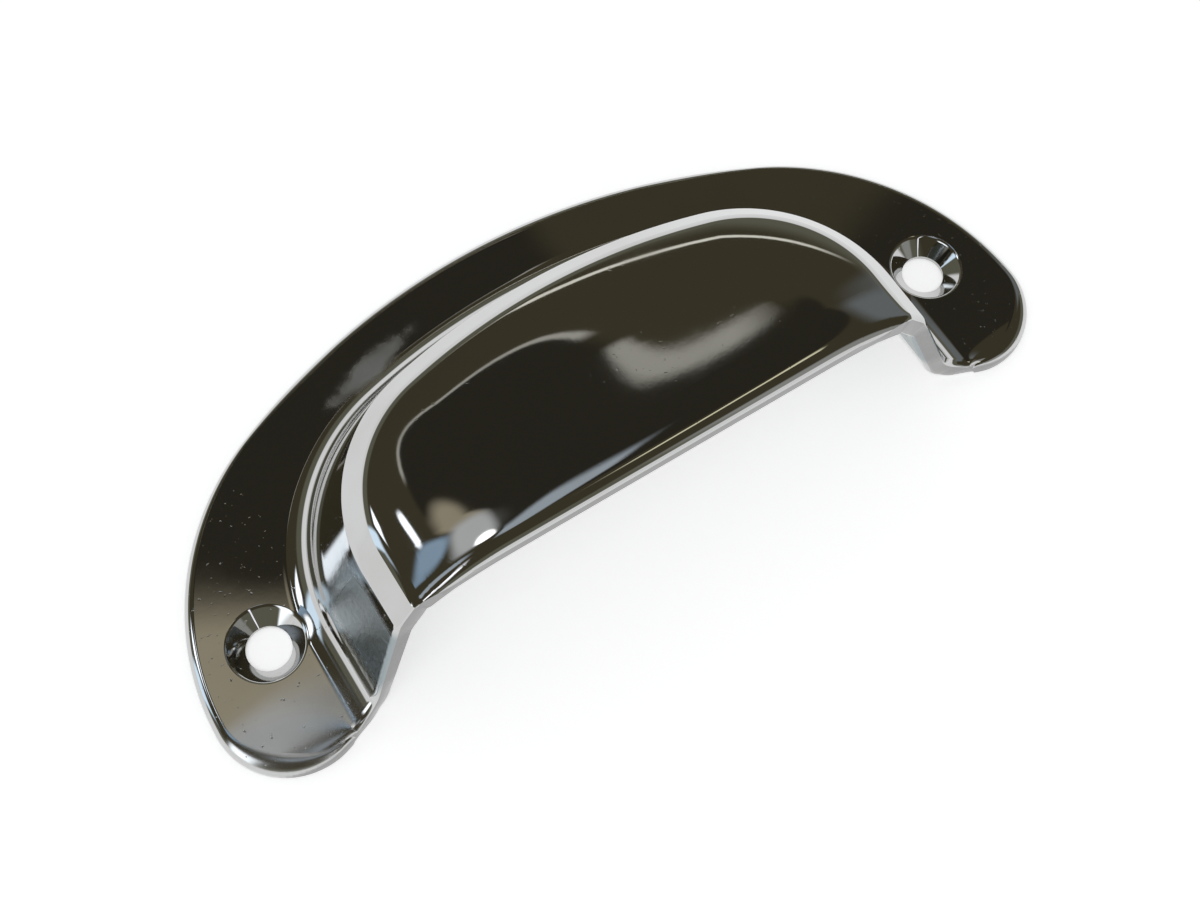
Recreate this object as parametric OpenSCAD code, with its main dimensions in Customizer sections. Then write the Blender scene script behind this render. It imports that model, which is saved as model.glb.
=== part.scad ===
// Cup drawer pull: a one-piece cast shell with a screwed flange and a hood for the fingers.
// X runs along the screw line, Y points up the drawer front, Z stands out from it.
// The origin is on the back face, midway between the two screw holes.

/* [Screw holes] */
// Distance between the screw hole centres
hole_spacing = 76.2; // [72:0.1:100]
// Diameter of the screw holes
hole_d = 4.3; // [3:0.1:5.5]
// Diameter of the countersink at the face of the flange
sink_d = 7.4; // [6:0.1:9]
// Included angle of the countersink
sink_angle = 90; // [80:1:110]

/* [Flange] */
// Thickness of the flange
flange_t = 2; // [1.6:0.1:3]
// Reach of the flange past each screw hole centre
ear_reach = 7.8; // [7:0.1:11]
// Radius of the rounded end of each ear
ear_r = 7.4; // [6.5:0.1:9]
// Depth by which the face of each ear falls away at its rounded end
ear_fall = 0.5; // [0:0.1:0.8]
// Slope of the underside of each ear, from its rounded end to the hood
heel_angle = 25; // [15:1:35]
// Height of the flange's crown above the screw line
flange_top = 26.8; // [24:0.1:32]
// Drop from the screw line to the widest place of the flange
flange_spring = 5; // [3:0.1:7]
// Radius of the flange's outline at its crown
flange_crown_r = 68; // [62:0.5:90]
// Rounding of the flange's outer edge
edge_r = 1.2; // [0.5:0.1:1.5]

/* [Hood] */
// Width of the hood from ridge to ridge
hood_w = 52.6; // [46:0.1:57]
// Height of the ridge's crown above the screw line
hood_top = 12.4; // [11:0.1:14]
// Drop from the screw line to the start of the straight sides
hood_spring = 3; // [2:0.1:5]
// Radius of the ridge at its crown
hood_crown_r = 61; // [54:0.5:80]
// Height of the ridge above the back
ridge_h = 15.3; // [12:0.1:20]
// Width of the bevel outside the ridge, seen from the front
bevel_run = 1.9; // [1:0.1:3]
// Depth of the bevel outside the ridge
bevel_drop = 2.3; // [1.5:0.1:3.5]
// Slope of the wall between the bevel and the cove
wall_angle = 67.5; // [60:0.5:78]
// Radius of the cove between the wall and the flange
cove_r = 3.4; // [2:0.1:4]
// Thickness of the hood's shell
shell_t = 2; // [1.6:0.1:2.6]

/* [Face] */
// Slope of the face where it meets the ridge
ridge_slope = 40; // [30:1:46]
// Radius of the roll along the edge of the face
roll_r = 2.62; // [2.3:0.02:4]
// Slope at which the roll passes into the broad crown of the face
crown_slope = 15; // [10:0.5:18]
// Half width of the level strip along the middle of the face
face_flat = 3.7; // [2:0.1:5]

/* [Mouth] */
// Drop from the screw line to the lip
lip_drop = 8.5; // [7:0.1:10]
// Radius of the roll along the lip
lip_r = 2; // [1.6:0.1:3]
// Slope at which the roll of the lip passes into its run-out on the face
lip_slope = 12; // [8:0.5:16]
// Width of that run-out
lip_run_out = 3; // [2:0.1:4]
// Thickness left at the front of the lip
lip_flat = 0.4; // [0.3:0.1:1]
// Lean of the cut ends of the side walls
front_lean = 7; // [0:0.5:12]
// Radius where the cavity opens onto the back
flare_r = 4; // [3:0.1:5]
// Depth by which that rounding is cut off at the back
flare_cut = 0.2; // [0.1:0.05:0.4]

/* [Hidden] */
$fn = 96;

// Counts of steps along the legs and the arch of one half, and round the edge, cove, rolls and face
leg_steps = 14;
arch_steps = 30;
edge_steps = 4;
cove_steps = 5;
roll_steps = 4;
face_steps = 4;
lip_steps = 5;
// Share of a short stretch that an edge rounding or the roll of the lip may take up
short_share = 0.7;
// Length of flange edge left between the heel of each ear and the foot of the hood
heel_gap = 0.6;
// Least radius of the roll on the inside of the hood
inner_roll_least = 0.3;
// Margin by which cutting shapes overshoot what they cut
over = 0.5;

hole_x = hole_spacing / 2;
hole_r = hole_d / 2;
sink_depth = (sink_d - hole_d) / 2 / tan(sink_angle / 2);

flange_half = hole_x + ear_reach;
flange_rise = flange_top + flange_spring;
ear_c = [flange_half - ear_r, -flange_spring];

hood_half = hood_w / 2;
hood_rise = hood_top + hood_spring;

// A three-centred arch: two shoulder arcs run tangent into one crown arc and into straight legs.
// A direction is an angle from the crown, so 0 points up and 90 points out to the side.
function heading(angle) = [sin(angle), cos(angle)];
function shoulder_r(half, rise, crown_r) =
    (2 * crown_r * rise - rise * rise - half * half) / (2 * (crown_r - half));
function crown_turn(half, rise, crown_r) =
    atan2(half - shoulder_r(half, rise, crown_r), crown_r - rise);
function arch_point(half, spring, rise, crown_r, angle) =
    let (side_r = shoulder_r(half, rise, crown_r))
    angle < crown_turn(half, rise, crown_r)
        ? [0, rise - spring - crown_r] + crown_r * heading(angle)
        : [half - side_r, -spring] + side_r * heading(angle);

hood_shoulder_r = shoulder_r(hood_half, hood_rise, hood_crown_r);
hood_turn = crown_turn(hood_half, hood_rise, hood_crown_r);
crown_c = [0, hood_top - hood_crown_r];
shoulder_c = [hood_half - hood_shoulder_r, -hood_spring];

// Places on a section of the hood are [distance outward from the ridge, height above the back]
bevel_foot = [bevel_run, ridge_h - bevel_drop];
roll_c = [0, ridge_h] - roll_r * heading(ridge_slope);
crown_start = roll_c + roll_r * heading(crown_slope);
crown_end_x = face_flat - hood_shoulder_r;
face_r = (crown_start.x - crown_end_x) / sin(crown_slope);
face_c = [crown_end_x, crown_start.y - face_r * cos(crown_slope)];
face_z = face_c.y + face_r;
ceiling_z = face_z - shell_t;

// The wall's outer face and, one shell thickness behind it, its inner face
function wall_x(z) = bevel_foot.x + (bevel_foot.y - z) / tan(wall_angle);
function inner_x(z) = wall_x(z) - shell_t / sin(wall_angle);
inner_foot_z = bevel_foot.y - shell_t;
cove_c = [wall_x(flange_t) + cove_r * tan(wall_angle / 2), flange_t + cove_r];
flare_z = flare_r - flare_cut;
flare_c = [inner_x(flare_z) + flare_r / sin(wall_angle), flare_z];
flare_start = acos(flare_z / flare_r);

// Depth of a place inside the ridge, and the height of the face there without the roll of the lip
function ridge_depth(p) =
    let (x = abs(p.x))
    atan2(x, p.y - crown_c.y) < hood_turn ? hood_crown_r - norm([x, p.y] - crown_c)
        : p.y > -hood_spring ? hood_shoulder_r - norm([x, p.y] - shoulder_c)
        : hood_half - x;
function on_circle(c, r, x) = c.y + sqrt(r * r - pow(x - c.x, 2));
function face_height(depth) =
    depth < -crown_start.x ? on_circle(roll_c, roll_r, -depth)
        : depth < -crown_end_x ? on_circle(face_c, face_r, -depth)
        : face_z;

// The lip turns down by a gentle run-out and then a roll, to the thin front of the lip
tail_r = lip_run_out / sin(lip_slope);
tail_fall = tail_r * (1 - cos(lip_slope));
lip_turn = acos(cos(lip_slope) - (shell_t - lip_flat - tail_fall) / lip_r);
lip_roll = lip_r * (sin(lip_turn) - sin(lip_slope));
lip_run = lip_roll + lip_run_out;
function lip_fall(y) =
    let (d = max(0, y + lip_drop))
    d >= lip_run ? 0
        : d > lip_roll ? tail_r - sqrt(tail_r * tail_r - pow(lip_run - d, 2))
        : tail_fall + lip_r * (cos(lip_slope) - cos(asin(sin(lip_turn) - d / lip_r)));

// The lip fades out towards the ridge, so that the corners of the face are full like a pillow's
ridge_fall = face_z - ridge_h;
function pillow(p) =
    let (down = min(ridge_fall, face_z - p.z))
    [p.x, p.y, p.z - lip_fall(p.y) * (1 - down / ridge_fall)];

// Each ear turns round its end into a straight heel, or only as far as the foot of the hood lets it
heel_turn = min(heel_angle, asin((ear_c.x - hood_half - cove_c.x - heel_gap) / ear_r));
ear_turn = 90 + heel_turn;
ear_end = ear_c + ear_r * heading(90 + ear_turn);
function heel_y(x) = ear_end.y + (ear_end.x - x) * tan(heel_turn);

// Front end of a side wall: it leans back, and its foot sweeps forward along the line of the heel
function wall_end(x, z) = min(-lip_drop - (ceiling_z - z) * tan(front_lean), heel_y(x));

// A station is [direction, share of the way down the leg]; a place on it is offset along the direction
function place(station, at) =
    let (
        leg = station[1],
        p = arch_point(hood_half, hood_spring, hood_rise, hood_crown_r, station[0])
            + at.x * heading(station[0])
    )
    [p.x, leg > 0 ? -hood_spring + leg * (wall_end(p.x, at.y) + hood_spring) : p.y, at.y];

// Outline of the flange: the arch, then round the ear and along its heel to the hood
front_foot = place([90, 1], [cove_c.x, flange_t]);
heel_end = [front_foot.x, front_foot.y] + heel_gap * [cos(heel_turn), -sin(heel_turn)];
ear_length = ear_r * ear_turn * PI / 180;
heel_length = norm(heel_end - ear_end);
function outline(station) =
    let (
        s = station[1] * (ear_length + heel_length),
        along = s - ear_length
    )
    station[1] == 0 ? arch_point(flange_half, flange_spring, flange_rise, flange_crown_r, station[0])
        : along < 0 ? ear_c + ear_r * heading(90 + s / ear_r * 180 / PI)
        : ear_end + along / heel_length * (heel_end - ear_end);
function fall(p) = ear_fall * pow(max(0, -flange_spring - p.y) / ear_r, 2);

// Each row below lists [outer place, inner place] pairs along one station
function edge_row(station) =
    let (
        rim = outline(station),
        foot = place(station, [cove_c.x, flange_t]),
        gap = [foot.x, foot.y] - rim,
        inset = min(edge_r, short_share * norm(gap)),
        z = flange_t - fall(rim)
    )
    [for (i = [0 : edge_steps])
        let (
            a = 90 * i / edge_steps,
            p = rim + inset * (1 - cos(a)) * gap / norm(gap)
        )
        [[p.x, p.y, z - edge_r * (1 - sin(a))], [p.x, p.y, 0]]];

function cove_row(station) =
    [for (i = [0 : cove_steps])
        let (
            share = i / cove_steps,
            a = wall_angle * share,
            b = flare_start + (wall_angle - flare_start) * share
        )
        [
            place(station, cove_c - cove_r * heading(a)),
            place(station, flare_c - flare_r * heading(b))
        ]];

function bevel_row(station) =
    [[place(station, bevel_foot), place(station, [inner_x(inner_foot_z), inner_foot_z])]];

inner_roll_r = max(inner_roll_least, roll_r - shell_t);
function roll_row(station) =
    [for (i = [0 : roll_steps])
        let (a = ridge_slope + (crown_slope - ridge_slope) * i / roll_steps)
        [
            pillow(place(station, roll_c + roll_r * heading(a))),
            place(station, roll_c + inner_roll_r * heading(a))
        ]];

// The face runs from the roll to the lip, whose stations are spread evenly between its corners
lip_corner = -4 * crown_start.x;
lip_side = hood_half + 6 * crown_start.x;
function lip_x(station) =
    station[1] > 0 ? lip_side + station[1] * (hood_half - lip_corner - lip_side)
        : lip_side * arch_point(hood_half, hood_spring, hood_rise, hood_crown_r, station[0]).x / hood_half;
function face_row(station) =
    let (
        start = place(station, crown_start),
        zone = min(lip_run, short_share * (start.y + lip_drop)),
        level = start.y + lip_drop - zone,
        falls = [
            for (i = [1 : face_steps]) zone + level * (1 - i / face_steps),
            for (i = [1 : lip_steps]) zone * (1 - sin(lip_turn * i / lip_steps) / sin(lip_turn))
        ]
    )
    [for (d = falls)
        let (
            share = 1 - d / (start.y + lip_drop),
            x = start.x + (lip_x(station) - start.x) * share,
            y = d - lip_drop,
            z = face_height(ridge_depth([x, y]))
        )
        [pillow([x, y, z]), [x, y, z - shell_t]]];

function row(station) = concat(
    edge_row(station), cove_row(station), bevel_row(station), roll_row(station), face_row(station));

// Rows from the right front corner over the crown to the left front corner
right_stations = [
    for (i = [0 : leg_steps]) [90, 1 - i / leg_steps],
    for (i = [1 : arch_steps]) [90 * (1 - i / arch_steps), 0]
];
right_rows = [for (s = right_stations) row(s)];
function mirrored(r) = [for (pair = r) [for (p = pair) [-p.x, p.y, p.z]]];
rows = concat(right_rows, [for (i = [len(right_rows) - 2 : -1 : 0]) mirrored(right_rows[i])]);

// Joins the outer and inner places of all rows into one closed shell
module shell(rows) {
    wide = len(rows[0]);
    last = len(rows) - 1;
    points = [for (r = rows) for (pair = r) for (p = pair) p];
    function at(i, k, side) = 2 * (i * wide + k) + side;
    function two(a, b, c, d) = [[a, b, c], [a, c, d]];
    outer = [for (i = [0 : last - 1]) for (k = [0 : wide - 2])
        each two(at(i, k, 0), at(i, k + 1, 0), at(i + 1, k + 1, 0), at(i + 1, k, 0))];
    inner = [for (i = [0 : last - 1]) for (k = [0 : wide - 2])
        each two(at(i, k, 1), at(i + 1, k, 1), at(i + 1, k + 1, 1), at(i, k + 1, 1))];
    rims = [for (i = [0 : last - 1])
        each concat(
            two(at(i, 0, 1), at(i, 0, 0), at(i + 1, 0, 0), at(i + 1, 0, 1)),
            two(at(i, wide - 1, 0), at(i, wide - 1, 1), at(i + 1, wide - 1, 1), at(i + 1, wide - 1, 0)))];
    ends = [for (k = [0 : wide - 2])
        each concat(
            two(at(0, k, 0), at(0, k, 1), at(0, k + 1, 1), at(0, k + 1, 0)),
            two(at(last, k, 1), at(last, k, 0), at(last, k + 1, 0), at(last, k + 1, 1)))];
    polyhedron(points, concat(outer, inner, rims, ends));
}

module screw_holes() {
    for (side = [-1, 1])
        translate([side * hole_x, 0, 0]) {
            translate([0, 0, -over])
                cylinder(h = flange_t + 2 * over, r = hole_r);
            translate([0, 0, flange_t - sink_depth])
                cylinder(h = sink_depth + over, r1 = hole_r, r2 = sink_d / 2 + over * tan(sink_angle / 2));
        }
}

module cup_pull() {
    color([0.8, 0.8, 0.79])
        difference() {
            shell(rows);
            screw_holes();
        }
}

cup_pull();
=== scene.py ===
import bpy, bmesh
import numpy as np
from math import sin, cos, tan, asin, acos, atan2, sqrt, radians, degrees, pi, hypot
from mathutils import Matrix, Vector


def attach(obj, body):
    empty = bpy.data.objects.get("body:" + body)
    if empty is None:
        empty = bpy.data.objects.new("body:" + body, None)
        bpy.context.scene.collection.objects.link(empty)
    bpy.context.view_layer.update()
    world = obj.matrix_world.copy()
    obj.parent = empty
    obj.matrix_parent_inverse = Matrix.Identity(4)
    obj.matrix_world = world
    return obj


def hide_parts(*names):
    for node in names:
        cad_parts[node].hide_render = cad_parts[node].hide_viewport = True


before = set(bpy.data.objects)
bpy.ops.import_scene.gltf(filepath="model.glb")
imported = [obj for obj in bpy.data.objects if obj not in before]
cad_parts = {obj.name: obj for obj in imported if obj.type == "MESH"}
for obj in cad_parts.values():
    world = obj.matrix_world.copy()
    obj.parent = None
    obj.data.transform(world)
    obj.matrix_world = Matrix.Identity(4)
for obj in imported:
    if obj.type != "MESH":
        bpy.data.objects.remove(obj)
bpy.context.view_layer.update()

mm = 0.001

pull = {                          # sizes of the casting, millimetres and degrees
    "holeSpacing": 76.2, "holeD": 4.3, "sinkD": 7.4, "sinkAngle": 90,
    "flangeT": 2.0, "earReach": 7.8, "earR": 7.38, "earFall": 0.5, "heelAngle": 25, "heelGap": 0.6,
    "flangeTop": 26.8, "flangeSpring": 5.0, "flangeCrownR": 68.0, "edgeR": 1.2,
    "hoodW": 52.6, "hoodTop": 12.4, "hoodSpring": 3.0, "hoodCrownR": 61.0,
    "ridgeH": 15.3, "bevelRun": 1.9, "bevelDrop": 1.97, "wallAngle": 67.5, "coveR": 3.4, "shellT": 2.0,
    "ridgeSlope": 40, "rollR": 2.62, "crownSlope": 15, "faceFlat": 3.7,
    "lipDrop": 8.5, "lipR": 2.0, "lipSlope": 12, "lipRunOut": 3.0, "lipFlat": 0.4,
    "frontLean": 7, "flareR": 4.0, "flareCut": 0.2,
}

polish = {                        # what buffing leaves at the edges, and how finely the skin is laid out
    "footR": 0.4, "ridgeR": 0.4, "ridgeEase": 3, "endR": 0.6, "endShare": 0.3, "rimR": 0.8, "rimSlope": 8,
    "rimReach": 1.0, "shortShare": 0.7, "shortPower": 4, "earSoft": 0.8, "lipSideIn": 6.0, "lipEndIn": 4.0,
    "legRows": 34, "archRows": 100, "endRows": 4, "edgeRings": 10, "flatRings": 18, "coveRings": 14,
    "wallRings": 8, "turnRings": 5, "bevelRings": 3, "rollRings": 14, "faceRings": 24, "lipRings": 14,
    "rimRings": 6, "holeSteps": 96, "cutterRun": 1.0, "sharpAngle": 34,
}


def heading(angle):               # 0 points up the drawer, 90 out to the side
    return np.array([sin(radians(angle)), cos(radians(angle))])


def shoulderRadius(half, rise, crownR):
    return (2*crownR*rise - rise*rise - half*half)/(2*(crownR - half))


def archPoint(half, spring, rise, crownR, angle):
    sideR = shoulderRadius(half, rise, crownR)
    if angle < degrees(atan2(half - sideR, crownR - rise)):
        return np.array([0, rise - spring - crownR]) + crownR*heading(angle)
    return np.array([half - sideR, -spring]) + sideR*heading(angle)


p = pull                          # short name for the sums below
holeX = p["holeSpacing"]/2
flangeHalf = holeX + p["earReach"]
flangeRise = p["flangeTop"] + p["flangeSpring"]
earC = np.array([flangeHalf - p["earR"], -p["flangeSpring"]])
hoodHalf = p["hoodW"]/2
hoodRise = p["hoodTop"] + p["hoodSpring"]
shoulderR = shoulderRadius(hoodHalf, hoodRise, p["hoodCrownR"])
hoodTurn = degrees(atan2(hoodHalf - shoulderR, p["hoodCrownR"] - hoodRise))
crownC = np.array([0, p["hoodTop"] - p["hoodCrownR"]])
shoulderC = np.array([hoodHalf - shoulderR, -p["hoodSpring"]])
bevelFoot = np.array([p["bevelRun"], p["ridgeH"] - p["bevelDrop"]])
ridgeTop = np.array([0.0, p["ridgeH"]])
rollC = ridgeTop - p["rollR"]*heading(p["ridgeSlope"])
crownStart = rollC + p["rollR"]*heading(p["crownSlope"])
crownEndX = p["faceFlat"] - shoulderR
faceR = (crownStart[0] - crownEndX)/sin(radians(p["crownSlope"]))
faceC = np.array([crownEndX, crownStart[1] - faceR*cos(radians(p["crownSlope"]))])
faceZ = faceC[1] + faceR
ceilingZ = faceZ - p["shellT"]
innerRollR = p["rollR"] - p["shellT"]


def wallX(z):
    return bevelFoot[0] + (bevelFoot[1] - z)/tan(radians(p["wallAngle"]))


def innerX(z):
    return wallX(z) - p["shellT"]/sin(radians(p["wallAngle"]))


innerFoot = np.array([innerX(bevelFoot[1] - p["shellT"]), bevelFoot[1] - p["shellT"]])
coveX = wallX(p["flangeT"]) + p["coveR"]*tan(radians(p["wallAngle"]/2))
coveC = np.array([coveX, p["flangeT"] + p["coveR"]])
flareZ = p["flareR"] - p["flareCut"]
flareC = np.array([innerX(flareZ) + p["flareR"]/sin(radians(p["wallAngle"])), flareZ])
flareStart = degrees(acos(flareZ/p["flareR"]))
ridgeFall = faceZ - p["ridgeH"]
tailR = p["lipRunOut"]/sin(radians(p["lipSlope"]))
tailFall = tailR*(1 - cos(radians(p["lipSlope"])))
lipFall = p["shellT"] - p["lipFlat"]
lipTurn = degrees(acos(cos(radians(p["lipSlope"])) - (lipFall - tailFall)/p["lipR"]))
lipRoll = p["lipR"]*(sin(radians(lipTurn)) - sin(radians(p["lipSlope"])))
lipRun = lipRoll + p["lipRunOut"]
heelTurn = min(p["heelAngle"], degrees(asin((earC[0] - hoodHalf - coveC[0] - p["heelGap"])/p["earR"])))
earTurn = 90 + heelTurn
earEnd = earC + p["earR"]*heading(90 + earTurn)


def wallEnd(x, z):                # front end of a side wall, swept forward at its foot
    lean = -p["lipDrop"] - (ceilingZ - z)*tan(radians(p["frontLean"]))
    return min(lean, earEnd[1] + (earEnd[0] - x)*tan(radians(heelTurn)))


def place(angle, leg, at):        # at is (distance outward from the ridge, height)
    q = archPoint(hoodHalf, p["hoodSpring"], hoodRise, p["hoodCrownR"], angle) + at[0]*heading(angle)
    y = q[1] if leg == 0 else -p["hoodSpring"] + leg*(wallEnd(q[0], at[1]) + p["hoodSpring"])
    return np.array([q[0], y, at[1]])


heelEnd = place(90, 1, (coveC[0], p["flangeT"]))[:2]
heelEnd = heelEnd + p["heelGap"]*np.array([cos(radians(heelTurn)), -sin(radians(heelTurn))])
earLength = p["earR"]*radians(earTurn)
heelLength = hypot(*(heelEnd - earEnd))


def rimPoint(angle, leg):         # outline of the flange: arch, ear, heel
    along = leg*(earLength + heelLength)
    if leg == 0:
        return archPoint(flangeHalf, p["flangeSpring"], flangeRise, p["flangeCrownR"], angle)
    if along < earLength:
        return earC + p["earR"]*heading(90 + degrees(along/p["earR"]))
    return earEnd + (along - earLength)/heelLength*(heelEnd - earEnd)


def ridgeDepth(x, y):
    x = abs(x)
    if degrees(atan2(x, y - crownC[1])) < hoodTurn:
        return p["hoodCrownR"] - hypot(x, y - crownC[1])
    if y > -p["hoodSpring"]:
        return shoulderR - hypot(x - shoulderC[0], y - shoulderC[1])
    return hoodHalf - x


def onCircle(c, r, x):
    return c[1] + sqrt(r*r - (x - c[0])**2)


def faceHeight(depth):
    if depth < -crownStart[0]:
        return onCircle(rollC, p["rollR"], -depth)
    return onCircle(faceC, faceR, -depth) if depth < -crownEndX else faceZ


def fallAtLip(y):                 # how far the lip has rolled down at y
    d = max(0.0, y + p["lipDrop"])
    if d >= lipRun:
        return 0.0
    if d > lipRoll:
        return tailR - sqrt(tailR**2 - (lipRun - d)**2)
    steep = asin(sin(radians(lipTurn)) - d/p["lipR"])
    return tailFall + p["lipR"]*(cos(radians(p["lipSlope"])) - cos(steep))


def pillow(height, y):            # height of the face where the end roll and the lip run together
    fall, lip = faceZ - height, fallAtLip(y)
    return height if fall >= ridgeFall else faceZ - fall - lip*(1 - fall/ridgeFall)


def eased(n):                     # shares from 0 to 1, closer together at both ends
    return [(1 - cos(pi*i/n))/2 for i in range(n + 1)]


def turnArc(a, b, c, r, n):       # buffs the corner b of the line a-b-c to a radius
    u = (a - b)/np.linalg.norm(a - b)
    v = (c - b)/np.linalg.norm(c - b)
    half = acos(np.clip(u @ v, -1, 1))/2
    centre = b + (u + v)/np.linalg.norm(u + v)*r/sin(half)
    start, end = b + u*r/tan(half) - centre, b + v*r/tan(half) - centre
    sweep = acos(np.clip(start @ end/(r*r), -1, 1))
    return [centre + (sin((1 - k/n)*sweep)*start + sin(k/n*sweep)*end)/sin(sweep) for k in range(n + 1)]


def hoodSection():                # outer and inner places from the cove up to the end of the roll
    pairs = []
    for i in range(polish["coveRings"] + 1):
        share = i/polish["coveRings"]
        back = flareStart + (p["wallAngle"] - flareStart)*share
        pairs.append((coveC - p["coveR"]*heading(p["wallAngle"]*share), flareC - p["flareR"]*heading(back)))
    coveTop, flareTop = pairs[-1]
    onRoll = rollC + p["rollR"]*heading(p["ridgeSlope"] - polish["ridgeEase"])
    foot = turnArc(coveTop, bevelFoot, ridgeTop, polish["footR"], polish["turnRings"])
    top = turnArc(bevelFoot, ridgeTop, onRoll, polish["ridgeR"], polish["turnRings"])
    innerRoll = rollC + innerRollR*heading(p["ridgeSlope"])
    for e in eased(polish["wallRings"])[1:]:
        pairs.append((coveTop + e*(foot[0] - coveTop), flareTop + e*(innerFoot - flareTop)))
    slope = [foot[-1] + e*(top[0] - foot[-1]) for e in eased(polish["bevelRings"])[1:]]
    bevel = foot[1:] + slope + top[1:]
    for i, q in enumerate(bevel):
        pairs.append((q, innerFoot + (i + 1)/len(bevel)*(innerRoll - innerFoot)))
    start = degrees(atan2(*(top[-1] - rollC)))
    for i in range(1, polish["rollRings"] + 1):
        share = i/polish["rollRings"]
        a = start + (p["crownSlope"] - start)*share
        b = p["ridgeSlope"] + (p["crownSlope"] - p["ridgeSlope"])*share
        pairs.append((rollC + p["rollR"]*heading(a), rollC + innerRollR*heading(b)))
    return pairs


section = hoodSection()
bevelCount = len(section) - polish["coveRings"] - 1 - polish["wallRings"]   # rings of bevel and roll
lipSide, lipEnd = hoodHalf - polish["lipSideIn"], hoodHalf - polish["lipEndIn"]


def lipX(angle, leg):             # where a row ends on the lip, spread evenly between its corners
    if leg > 0:
        return lipSide + leg*(lipEnd - lipSide)
    return lipSide*archPoint(hoodHalf, p["hoodSpring"], hoodRise, p["hoodCrownR"], angle)[0]/hoodHalf


def edgeRings(angle, leg):        # rounded edge of the flange, then its flat to the cove
    rim = rimPoint(angle, leg)
    foot, flare = place(angle, leg, section[0][0]), place(angle, leg, section[0][1])
    gap = foot[:2] - rim
    width = np.linalg.norm(gap)
    ear = sin(pi*min(1.0, leg*(earLength + heelLength)/earLength))**2   # most in the middle of an ear
    soft, power = p["edgeR"]*(1 + polish["earSoft"]*ear), polish["shortPower"]
    run = (soft**-power + (polish["shortShare"]*width)**-power)**(-1/power)   # less where the flange is narrow
    fall = p["earFall"]*(max(0.0, -p["flangeSpring"] - rim[1])/p["earR"])**2
    outer, inner = [], []
    for i in range(polish["edgeRings"] + 1):
        a = radians(90*i/polish["edgeRings"])
        q = rim + run*(1 - cos(a))*gap/width
        outer.append(np.array([q[0], q[1], p["flangeT"] - fall - p["edgeR"]*(1 - sin(a))]))
        inner.append(np.array([q[0], q[1], 0]))
    top, under = outer[-1], inner[-1]
    for e in eased(polish["flatRings"])[1:-1]:
        q = top + e*(foot - top)
        outer.append(np.array([q[0], q[1], p["flangeT"] - fall*(1 - e)**2]))
        inner.append(under + e*(flare - under))
    return outer, inner


def faceRings(angle, leg):        # crowned face, then the roll of the lip
    start, under = place(angle, leg, crownStart), place(angle, leg, section[-1][1])
    span = start[1] + p["lipDrop"]
    zone = min(lipRun, polish["shortShare"]*span)
    drops = [zone + (span - zone)*(1 - e) for e in eased(polish["faceRings"])[1:]]
    for i in range(1, polish["lipRings"] + 1):
        drops.append(zone*(1 - sin(radians(lipTurn*i/polish["lipRings"]))/sin(radians(lipTurn))))
    outer, inner = [], []
    for d in drops:
        share = 1 - d/span
        x, y = start[0] + (lipX(angle, leg) - start[0])*share, d - p["lipDrop"]
        outer.append(np.array([x, y, pillow(faceHeight(ridgeDepth(x, y)), y)]))
        x = under[0] + (lipX(angle, leg) - under[0])*share
        y = under[1] - (under[1] + p["lipDrop"])*share
        inner.append(np.array([x, y, faceHeight(ridgeDepth(x, y)) - p["shellT"]]))
    return outer, inner


def castingRow(angle, leg, inset):
    outer, inner = edgeRings(angle, leg)
    for o, i in section:
        q = place(angle, leg, o)
        outer.append(np.array([q[0], q[1], pillow(q[2], q[1])]))
        inner.append(place(angle, leg, i))
    faceOuter, faceInner = faceRings(angle, leg)
    outer, inner = np.array(outer + faceOuter), np.array(inner + faceInner)
    if inset:                     # soft edges round the cut ends, sharp again where they meet the lip
        lower = len(outer) - len(faceOuter) - bevelCount
        soft = np.concatenate([np.ones(lower), np.linspace(1, 0, bevelCount), np.zeros(len(faceOuter))])
        soft = soft[:, None]
        across = inner - outer
        thick = np.linalg.norm(across, axis=1)[:, None]
        move = across/thick*soft*np.minimum(inset, polish["endShare"]*thick)
        outer, inner = outer + move, inner - move
    return outer, inner


def castingRows():                # right front corner, over the crown, to the left front corner
    legLength = p["lipDrop"] - p["hoodSpring"]
    rows = []
    for k in range(polish["endRows"] + 1):
        a = radians(90*k/polish["endRows"])
        rows.append(castingRow(90, 1 - polish["endR"]/legLength*(1 - cos(a)), polish["endR"]*(1 - sin(a))))
    last = 1 - polish["endR"]/legLength
    for e in eased(polish["legRows"])[1:]:
        rows.append(castingRow(90, last*(1 - e), 0))
    for i in range(1, polish["archRows"] + 1):
        rows.append(castingRow(90*(1 - i/polish["archRows"]), 0, 0))
    flip = np.array([-1, 1, 1])
    return rows + [(o*flip, i*flip) for o, i in reversed(rows[:-1])]


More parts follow.
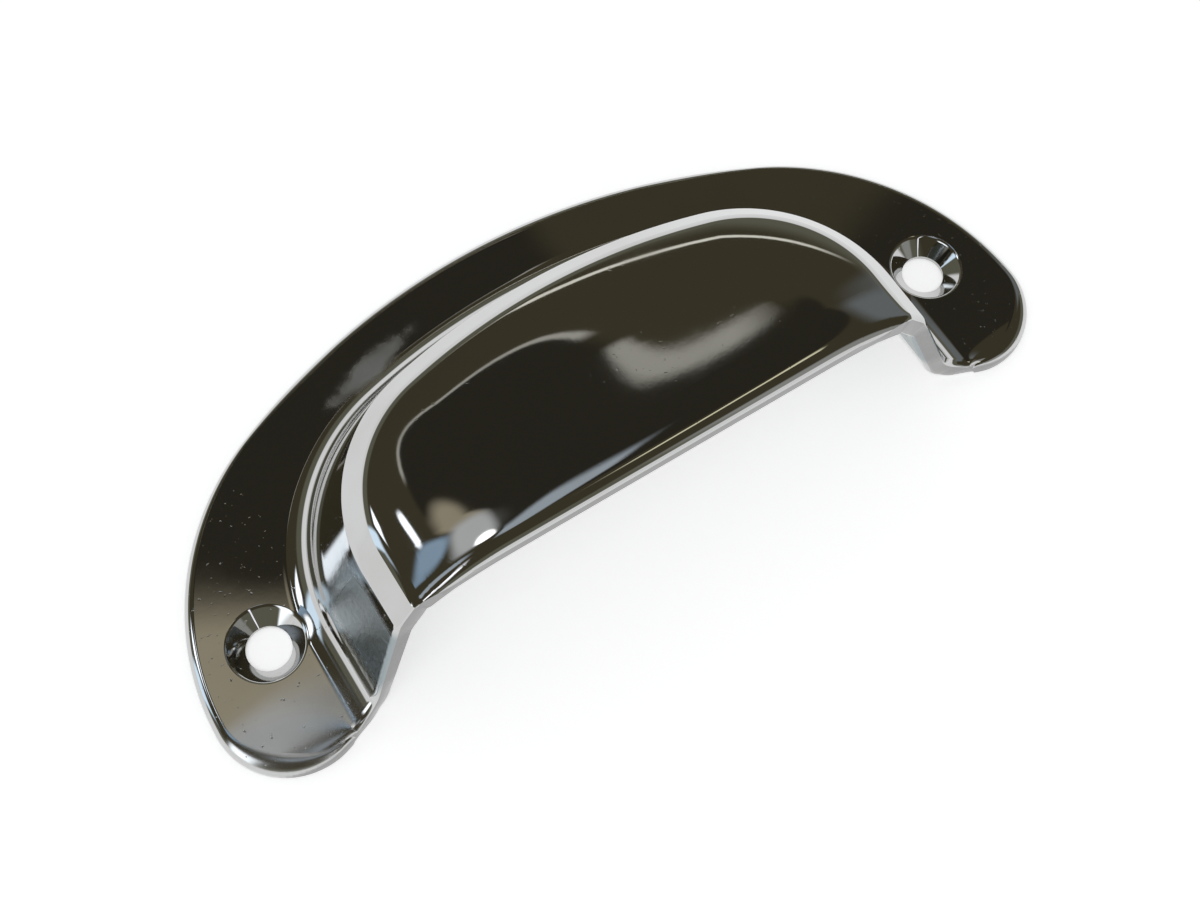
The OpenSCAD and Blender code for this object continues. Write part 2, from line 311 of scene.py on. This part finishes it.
def castingMesh(name):            # outer and inner skins joined at the rims and the cut ends
    rows = castingRows()
    wide = len(rows[0][0])
    points = np.concatenate([np.concatenate(pair) for pair in rows])*mm

    def at(r, k, side):
        return (2*r + side)*wide + k

    faces = []
    end = len(rows) - 1
    for r in range(end):
        for k in range(wide - 1):
            faces.append((at(r, k, 0), at(r + 1, k, 0), at(r + 1, k + 1, 0), at(r, k + 1, 0)))
            faces.append((at(r, k, 1), at(r, k + 1, 1), at(r + 1, k + 1, 1), at(r + 1, k, 1)))
        faces.append((at(r, 0, 1), at(r + 1, 0, 1), at(r + 1, 0, 0), at(r, 0, 0)))
        k = wide - 1
        faces.append((at(r, k, 0), at(r + 1, k, 0), at(r + 1, k, 1), at(r, k, 1)))
    for k in range(wide - 1):
        faces.append((at(0, k, 1), at(0, k, 0), at(0, k + 1, 0), at(0, k + 1, 1)))
        faces.append((at(end, k, 0), at(end, k, 1), at(end, k + 1, 1), at(end, k + 1, 0)))
    mesh = bpy.data.meshes.new(name)
    mesh.from_pydata(points.tolist(), [], faces)
    mesh.update()
    return mesh


def screwCutter(x):               # countersunk hole with a buffed rim
    sinkR, holeR = p["sinkD"]/2, p["holeD"]/2
    slope = tan(radians(p["sinkAngle"]/2))
    neck = np.array([holeR, p["flangeT"] - (sinkR - holeR)/slope])
    rim = np.array([sinkR, p["flangeT"]])
    lift = radians(polish["rimSlope"])
    out = rim + polish["rimReach"]*np.array([cos(lift), sin(lift)])
    top = np.array([out[0], p["flangeT"] + polish["rimReach"]])
    profile = [np.array([holeR, -polish["cutterRun"]]), neck]
    profile += turnArc(neck, rim, out, polish["rimR"], polish["rimRings"]) + [out, top]
    mesh = bpy.data.meshes.new("cutter")
    bm = bmesh.new()
    steps = polish["holeSteps"]
    rings = []
    for r, z in profile:
        ring = []
        for i in range(steps):
            a = 2*pi*i/steps
            ring.append(bm.verts.new(((x + r*cos(a))*mm, r*sin(a)*mm, z*mm)))
        rings.append(ring)
    for low, high in zip(rings, rings[1:]):
        for i in range(steps):
            j = (i + 1) % steps
            bm.faces.new((low[i], low[j], high[j], high[i]))
    bm.faces.new(rings[0][::-1])
    bm.faces.new(rings[-1])
    bm.to_mesh(mesh)
    bm.free()
    mesh.materials.append(bpy.data.materials.new("sinkFaces"))
    cutter = bpy.data.objects.new("cutter", mesh)
    bpy.context.scene.collection.objects.link(cutter)
    return cutter


def markRims(mesh):               # a countersink and the flange round it are shaded apart
    bm = bmesh.new()
    bm.from_mesh(mesh)
    for edge in bm.edges:
        if len({face.material_index for face in edge.link_faces}) > 1:
            edge.smooth = False
    for face in bm.faces:
        face.material_index = 0
    bm.to_mesh(mesh)
    bm.free()


def makeCasting():
    mesh = castingMesh("chromeCasting")
    mesh.materials.append(bpy.data.materials.new("castFaces"))
    casting = bpy.data.objects.new("chromeCasting", mesh)
    bpy.context.scene.collection.objects.link(casting)
    cutters = [screwCutter(side*holeX) for side in (-1, 1)]
    for cutter in cutters:
        cut = casting.modifiers.new("screwHole", "BOOLEAN")
        cut.operation = "DIFFERENCE"
        cut.solver = "EXACT"
        cut.material_mode = "TRANSFER"
        cut.object = cutter
    graph = bpy.context.evaluated_depsgraph_get()
    shaped = bpy.data.meshes.new_from_object(casting.evaluated_get(graph))
    casting.modifiers.clear()
    casting.data = shaped
    for cutter in cutters:
        bpy.data.objects.remove(cutter)
    shaped.shade_smooth()
    shaped.set_sharp_from_angle(angle=radians(polish["sharpAngle"]))
    markRims(shaped)
    return casting


casting = makeCasting()
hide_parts("cup_pull")
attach(casting, "root")
print("casting made", len(casting.data.polygons), "faces")


class Nodes:                      # small helper for node trees
    def __init__(self, tree):
        self.tree = tree
        tree.nodes.clear()

    def put(self, socket, value):
        if isinstance(value, bpy.types.NodeSocket):
            self.tree.links.new(value, socket)
        else:
            socket.default_value = value

    def add(self, kind, values=None, **settings):
        node = self.tree.nodes.new(kind)
        for name, value in settings.items():
            setattr(node, name, value)
        for key, value in (values or {}).items():
            self.put(node.inputs[key], value)
        return node

    def math(self, operation, *values):
        return self.add("ShaderNodeMath", dict(enumerate(values)), operation=operation).outputs[0]

    def plus(self, total, *others):
        for value in others:
            total = self.math("ADD", total, value)
        return total

    def times(self, total, *others):
        for value in others:
            total = self.math("MULTIPLY", total, value)
        return total

    def length(self, a, b):
        return self.math("SQRT", self.plus(self.math("POWER", a, 2.0), self.math("POWER", b, 2.0)))

    def vector(self, operation, *values):
        node = self.add("ShaderNodeVectorMath", dict(enumerate(values)), operation=operation)
        return node.outputs["Value"] if operation == "DOT_PRODUCT" else node.outputs[0]

    def remap(self, value, low, high, outLow=0.0, outHigh=1.0):
        values = {"Value": value, "From Min": low, "From Max": high, "To Min": outLow, "To Max": outHigh}
        return self.add("ShaderNodeMapRange", values, interpolation_type="SMOOTHSTEP").outputs["Result"]

    def blend(self, share, a, b):
        node = self.add("ShaderNodeMix", data_type="RGBA")
        for key, value in (("Factor_Float", share), ("A_Color", a), ("B_Color", b)):
            self.put(next(i for i in node.inputs if i.identifier == key), value)
        return next(o for o in node.outputs if o.identifier == "Result_Color")

    def seen(self):               # 1 for what the camera sees, also in a mirror or through glass
        path = self.add("ShaderNodeLightPath").outputs
        direct = self.math("MAXIMUM", path["Is Camera Ray"], path["Is Glossy Ray"])
        return self.math("MAXIMUM", direct, path["Is Transmission Ray"])


chrome = {                        # the plate: bright, slightly uneven, grainy at the left ear
    "bright": (0.575, 0.58, 0.575, 1), "dull": (0.49, 0.485, 0.47, 1), "dullShare": 0.5,
    # the next two colours are painted light: shade for the faces turned to the open side, then a dim blue-grey
    # reflection for the side-wall patches
    "cut": (0.33, 0.33, 0.325, 1), "cast": (0.34, 0.385, 0.40, 1),
    "gloss": 0.03, "hazeRough": 0.05, "earRough": 0.17, "speckRough": 0.3, "patchRough": 0.26,
    "smearRough": 0.62, "mostRough": 0.68, "cutRough": 0.12,
    "hazeNoise": (90, 4), "streakNoise": (450, 3), "speckNoise": (1900, 2),        # scale, detail
    "mottleNoise": (1500, 3), "waveNoise": (62, 1), "peelNoise": (620, 3),
    "hazeFrom": (0.42, 0.75), "speckFrom": (0.685, 0.76), "earSpecks": 0.55, "fewSpecks": 0.03,
    "waveDepth": 0.04, "peelDepth": 0.0008, "mottleDepth": 0.04, "speckDepth": 0.014,        # mm
    "earEnd": (-3, -8.5), "leftEar": (-31, -36), "eitherEar": (30, 37), "nearFlange": (6, 3),   # zones, mm
    "patchFoot": (3.5, 6), "patchTop": (12.8, 11.5), "patchSide": (25.5, 27.5), "patchBack": (2, -3),
    "cutFront": (-7, -8), "cutFacing": (-0.80, -0.93),
    "smear": {"at": (-16.4, 19.7), "size": (7.5, 2.0), "turn": 17, "ragged": 0.9, "fade": (1.0, 0.1)},
}


def smearShare(n, where, streaks):    # hazy smear that buffing left on the flange
    smear = chrome["smear"]
    turn = radians(smear["turn"])
    offset = n.vector("SUBTRACT", where, (smear["at"][0]*mm, smear["at"][1]*mm, 0))
    along = n.vector("DOT_PRODUCT", offset, (cos(turn), sin(turn), 0))
    across = n.vector("DOT_PRODUCT", offset, (-sin(turn), cos(turn), 0))
    along, across = [n.math("DIVIDE", v, half*mm) for v, half in zip((along, across), smear["size"])]
    ragged = n.times(n.math("SUBTRACT", streaks, 0.5), smear["ragged"])
    return n.remap(n.plus(n.length(along, across), ragged), *smear["fade"])


def forwardShare(n):              # 1 where the bare mesh faces the open side
    normal = n.add("ShaderNodeNewGeometry").outputs["True Normal"]
    normal = n.add("ShaderNodeVectorTransform", {0: normal}, vector_type="NORMAL",
                   convert_from="WORLD", convert_to="OBJECT").outputs[0]
    return n.remap(n.add("ShaderNodeSeparateXYZ", {0: normal}).outputs[1], *chrome["cutFacing"])


def chromeMaterial():
    material = bpy.data.materials.new("chromePlate")
    material.use_nodes = True
    n = Nodes(material.node_tree)
    where = n.add("ShaderNodeTexCoord").outputs["Object"]
    x, y, z = n.add("ShaderNodeSeparateXYZ", {0: where}).outputs
    aside = n.math("ABSOLUTE", x)

    def noise(key):
        scale, detail = chrome[key]
        return n.add("ShaderNodeTexNoise", {"Vector": where, "Scale": scale, "Detail": detail}).outputs["Fac"]

    def zone(value, key):         # rises from 0 to 1 between two places
        return n.remap(value, *[limit*mm for limit in chrome[key]])

    def bump(height, key, **settings):
        values = {"Strength": 1.0, "Distance": chrome[key]*mm, "Height": height}
        return n.add("ShaderNodeBump", values, **settings)

    haze = n.remap(noise("hazeNoise"), *chrome["hazeFrom"])
    nearFlange = zone(z, "nearFlange")
    grainy = n.times(zone(y, "earEnd"), zone(x, "leftEar"), nearFlange)
    ears = n.times(zone(aside, "eitherEar"), nearFlange)
    specks = n.remap(noise("speckNoise"), *chrome["speckFrom"])
    specks = n.times(specks, n.plus(n.times(ears, chrome["earSpecks"]), chrome["fewSpecks"]))
    patch = n.times(zone(z, "patchFoot"), zone(z, "patchTop"))         # left as cast, low on the side walls: rougher and mottled, with a darker blue-grey painted reflection in its colour
    patch = n.times(patch, n.times(zone(aside, "patchSide"), zone(y, "patchBack")))
    front = n.times(forwardShare(n), zone(y, "cutFront"))              # cut ends and edge of the lip, facing the open side: rougher, and darkened there as painted shade

    rough = n.plus(chrome["gloss"], n.times(haze, chrome["hazeRough"]), n.times(patch, chrome["patchRough"]),
                   n.times(grainy, chrome["earRough"]), n.times(specks, chrome["speckRough"]))
    smear = smearShare(n, where, noise("streakNoise"))
    rough = n.math("MINIMUM", n.plus(rough, n.times(smear, chrome["smearRough"])), chrome["mostRough"])
    rough = n.plus(rough, n.times(front, chrome["cutRough"]))
    colour = n.blend(n.times(haze, chrome["dullShare"]), chrome["bright"], chrome["dull"])
    # painted light: a dim blue-grey reflection on the side-wall patches, then shade on the faces turned to the
    # open side
    colour = n.blend(front, n.blend(patch, colour, chrome["cast"]), chrome["cut"])

    mottle = n.times(noise("mottleNoise"), patch)
    layers = [bump(noise("waveNoise"), "waveDepth"), bump(noise("peelNoise"), "peelDepth"),
              bump(mottle, "mottleDepth"), bump(specks, "speckDepth", invert=True)]
    for under, over in zip(layers, layers[1:]):
        n.put(over.inputs["Normal"], under.outputs[0])
    plate = n.add("ShaderNodeBsdfPrincipled", {"Base Color": colour, "Metallic": 1.0, "Roughness": rough,
                                               "Normal": layers[-1].outputs[0]})
    n.add("ShaderNodeOutputMaterial", {"Surface": plate.outputs[0]})
    return material


casting.data.materials.clear()
casting.data.materials.append(chromeMaterial())
print("chrome plate made")


paper = {                         # white sheet under the part: size in metres, gap in mm
    "size": 24.0, "gap": 0.02, "colour": (0.86, 0.86, 0.86, 1), "lift": 0.51,
}


def makePaper():
    half = paper["size"]/2
    mesh = bpy.data.meshes.new("paperSheet")
    corners = [(-half, -half, 0), (half, -half, 0), (half, half, 0), (-half, half, 0)]
    mesh.from_pydata(corners, [], [(0, 1, 2, 3)])
    sheet = bpy.data.objects.new("paperSheet", mesh)
    sheet.location.z = -paper["gap"]*mm
    bpy.context.scene.collection.objects.link(sheet)
    material = bpy.data.materials.new("whitePaper")
    material.use_nodes = True
    n = Nodes(material.node_tree)
    diffuse = n.add("ShaderNodeBsdfDiffuse", {"Color": paper["colour"]})
    lift = n.add("ShaderNodeEmission", {"Color": (1, 1, 1, 1), "Strength": n.times(n.seen(), paper["lift"])})
    both = n.add("ShaderNodeAddShader", {0: diffuse.outputs[0], 1: lift.outputs[0]})
    n.add("ShaderNodeOutputMaterial", {"Surface": both.outputs[0]})
    mesh.materials.append(material)
    return sheet


makePaper()
print("paper laid")


studio = {                        # dim surround with soft boxes, and dark cards that keep the plate black
    "low": (0.15, 0.145, 0.108, 1), "high": (0.062, 0.053, 0.032, 1), "lowTop": (0.46, 0.55),
    "sweep": (1, 1, 1, 1), "sweepTop": (0.24, 0.16), "even": (0.55, 0.555, 0.56, 1),
    "card": (0.030, 0.027, 0.019, 1), "cardEdge": (-0.01, 0.02), "cardBlend": 0.08,
    "rim": (0.75, 0.73, 0.66, 1), "rimEdge": (0.0144, 0.0036), "rimStrong": 0.55, "rimFaint": 0.6,
    "rimFront": ((0.36, 0.40), (0.10, 0.10), 0), "rimFrontEdge": (1.0, 0.4), "rimBack": (0.58, 0.68),
    "softEdge": 0.5, "lampEdge": 0.4, "roundness": 3.0, "leastDepth": 0.01, "ahead": 0.05,
    "cards": [                    # overhead: middle, half size, turn
        ((0.07, 0.585), (0.365, 0.26), 90),
        ((0.44, 0.12), (0.40, 0.205), 35),
        ((0.36, 0.25), (0.25, 0.13), 0),
    ],
    "overhead": [                 # middle, half size, turn, light, colour
        ("warmBox", (-0.02, 0.30), (0.20, 0.10), -38, 0.40, (1.0, 0.88, 0.64)),
        ("zenithBox", (0.01, 0.11), (0.17, 0.23), 0, 0.62, (0.97, 0.99, 1.0)),
        ("skyBox", (-0.24, 0.22), (0.15, 0.12), -30, 0.6, (0.55, 0.76, 1.0)),
        ("skyStrip", (-0.295, 0.425), (0.12, 0.026), 96, 2.6, (0.88, 0.93, 1.0)),
        ("frontSky", (-0.16, -0.26), (0.16, 0.14), 0, 0.6, (0.78, 0.88, 1.0)),
    ],
    "around": [                   # azimuth, elevation, half width, half height, light, colour
        ("leftBox", 150, 22, 0.11, 0.38, 1.5, (0.70, 0.85, 1.0)),
        ("leftStrip", 136, 46, 0.075, 0.18, 2.6, (0.86, 0.92, 1.0)),
        ("sideBox", 194, 30, 0.28, 0.50, 2.2, (0.90, 0.95, 1.0)),
        ("frontBox", 335, 78, 0.17, 0.055, 0.55, (0.80, 0.90, 1.0)),
        ("frontStrip", 266, 36, 0.03, 0.55, 1.6, (0.92, 0.93, 1.0)),
        ("creamStrip", 322, 65, 0.17, 0.035, 1.0, (1.0, 0.94, 0.66)),
        ("paleBox", 300, 20, 0.24, 0.30, 0.35, (1.0, 1.0, 0.95)),
        ("rightBox", 9, 36, 0.24, 0.28, 0.2, (0.90, 0.97, 1.0)),
        ("backStrip", 57, 35, 0.52, 0.012, 1.0, (1.0, 0.97, 0.86)),
    ],
    "lamps": [                    # azimuth, elevation, radius, light
        ("lampOverhead", 330, 86.3, 0.07, 3.0), ("lampFront", 266, 50, 0.035, 3.0),
    ],
}


def facing(az, el):               # direction, right and up of a soft box
    az, el = radians(az), radians(el)
    ahead = (cos(az)*cos(el), sin(az)*cos(el), sin(el))
    return ahead, (-sin(az), cos(az), 0), (-cos(az)*sin(el), -sin(az)*sin(el), cos(el))


def makeStudio():
    world = bpy.data.worlds.new("dimStudio")
    bpy.context.scene.world = world
    world.use_nodes = True
    n = Nodes(world.node_tree)
    d = n.add("ShaderNodeTexCoord").outputs["Generated"]
    z = n.add("ShaderNodeSeparateXYZ", {0: d}).outputs["Z"]

    def onPlane(ahead, right, up):    # place on a plane that faces the middle of a box
        depth = n.vector("DOT_PRODUCT", d, ahead)
        safe = n.math("MAXIMUM", depth, studio["leastDepth"])
        across = n.math("DIVIDE", n.vector("DOT_PRODUCT", d, right), safe)
        over = n.math("DIVIDE", n.vector("DOT_PRODUCT", d, up), safe)
        return across, over, n.math("GREATER_THAN", depth, studio["ahead"])

    def softShare(offset, half):
        return n.remap(n.math("ABSOLUTE", offset), half, half*(1 - studio["softEdge"]))

    def lit(name, colour, share, light, tint):
        result = n.blend(share, colour, tuple(c*light for c in tint) + (1,))
        result.node.label = name
        return result

    colour = n.blend(n.remap(z, *studio["lowTop"]), studio["low"], studio["high"])
    planX, planY, above = onPlane((0, 0, 1), (1, 0, 0), (0, 1, 0))

    def overhead(middle, half, turn):     # 0 in the middle of a rounded shape overhead, 1 at its edge
        dx, dy = n.math("SUBTRACT", planX, middle[0]), n.math("SUBTRACT", planY, middle[1])
        c, s = cos(radians(turn)), sin(radians(turn))
        along = n.plus(n.times(dx, c/half[0]), n.times(dy, s/half[0]))
        aside = n.math("SUBTRACT", n.times(dy, c/half[1]), n.times(dx, s/half[1]))
        power = studio["roundness"]
        total = n.plus(*[n.math("POWER", n.math("ABSOLUTE", v), power) for v in (along, aside)])
        return n.math("POWER", total, 1/power)

    depth = None                  # how far inside any card
    for middle, half, turn in studio["cards"]:
        inside = n.times(n.math("SUBTRACT", 1.0, overhead(middle, half, turn)), half[1])
        depth = inside if depth is None else n.math("SMOOTH_MAX", depth, inside, studio["cardBlend"])
    colour = n.blend(n.times(n.remap(depth, *studio["cardEdge"]), above), colour, studio["card"])
    rim = n.remap(n.math("ABSOLUTE", depth), *studio["rimEdge"])          # pale on parts of the cards' edges
    rimFront = n.remap(overhead(*studio["rimFront"]), *studio["rimFrontEdge"], 0.0, studio["rimStrong"])
    rimBack = n.remap(planY, *studio["rimBack"], 0.0, studio["rimFaint"])
    rim = n.times(rim, above, n.math("MAXIMUM", rimFront, rimBack))
    colour = n.blend(rim, colour, studio["rim"])

    for name, middle, half, turn, light, tint in studio["overhead"]:
        share = n.remap(overhead(middle, half, turn), 1.0, 1 - studio["softEdge"])
        colour = lit(name, colour, n.times(share, above), light, tint)
    for name, az, el, wide, high, light, tint in studio["around"]:
        across, over, ahead = onPlane(*facing(az, el))
        share = n.times(softShare(across, wide), softShare(over, high))
        colour = lit(name, colour, n.times(share, ahead), light, tint)
    for name, az, el, radius, light in studio["lamps"]:
        across, over, ahead = onPlane(*facing(az, el))
        share = n.remap(n.length(across, over), radius, radius*(1 - studio["lampEdge"]))
        colour = lit(name, colour, n.times(share, ahead), light, (1, 1, 1))
    colour = n.blend(n.remap(z, *studio["sweepTop"]), colour, studio["sweep"])   # the paper runs up all round
    even = n.add("ShaderNodeBackground", {"Color": studio["even"], "Strength": 1.0})   # even light on the paper
    detail = n.add("ShaderNodeBackground", {"Color": colour, "Strength": 1.0})
    both = n.add("ShaderNodeMixShader", {0: n.seen(), 1: even.outputs[0], 2: detail.outputs[0]})
    n.add("ShaderNodeOutputWorld", {"Surface": both.outputs[0]})


makeStudio()
print("studio made")


lamp = {                          # soft fill, in metres and watts
    "place": (-0.45, -0.25, 0.75), "aim": (0, 0.005, 0.005), "size": 0.5, "power": 0.7,
}


def makeLamp():
    light = bpy.data.lights.new("softFill", "AREA")
    light.energy, light.size, light.shape = lamp["power"], lamp["size"], "DISK"
    holder = bpy.data.objects.new("softFill", light)
    bpy.context.scene.collection.objects.link(holder)
    holder.location = lamp["place"]
    holder.rotation_euler = (Vector(lamp["aim"]) - Vector(lamp["place"])).to_track_quat("-Z", "Y").to_euler()
    holder.visible_glossy = False   # the plate shows the boxes alone


makeLamp()
print("lamp set")


view = {                          # fitted to the photograph: mm and degrees, clip in metres
    "place": (-37.15, -47.11, 135.54), "turn": 36.75, "tilt": 66.12, "roll": 4.61,
    "lens": 45.1, "sensor": 36, "clip": (0.005, 50),
}


def makeCamera():
    camera = bpy.data.cameras.new("photoCamera")
    camera.lens, camera.sensor_width = view["lens"], view["sensor"]
    camera.clip_start, camera.clip_end = view["clip"]
    holder = bpy.data.objects.new("photoCamera", camera)
    bpy.context.scene.collection.objects.link(holder)
    turn, tilt, roll = radians(view["turn"]), radians(view["tilt"]), radians(view["roll"])
    around = Matrix(((cos(turn), -sin(turn), 0), (sin(turn), cos(turn), 0), (0, 0, 1)))
    look = Matrix(((1, 0, 0), (0, -sin(tilt), -cos(tilt)), (0, cos(tilt), -sin(tilt))))
    lean = Matrix(((cos(roll), -sin(roll), 0), (sin(roll), cos(roll), 0), (0, 0, 1)))
    right, down, ahead = lean @ look @ around
    axes = Matrix((right, -down, -ahead)).transposed()
    holder.matrix_world = Matrix.Translation([c*mm for c in view["place"]]) @ axes.to_4x4()
    bpy.context.scene.camera = holder


makeCamera()
bpy.context.scene.view_settings.view_transform = "Standard"
print("camera set")
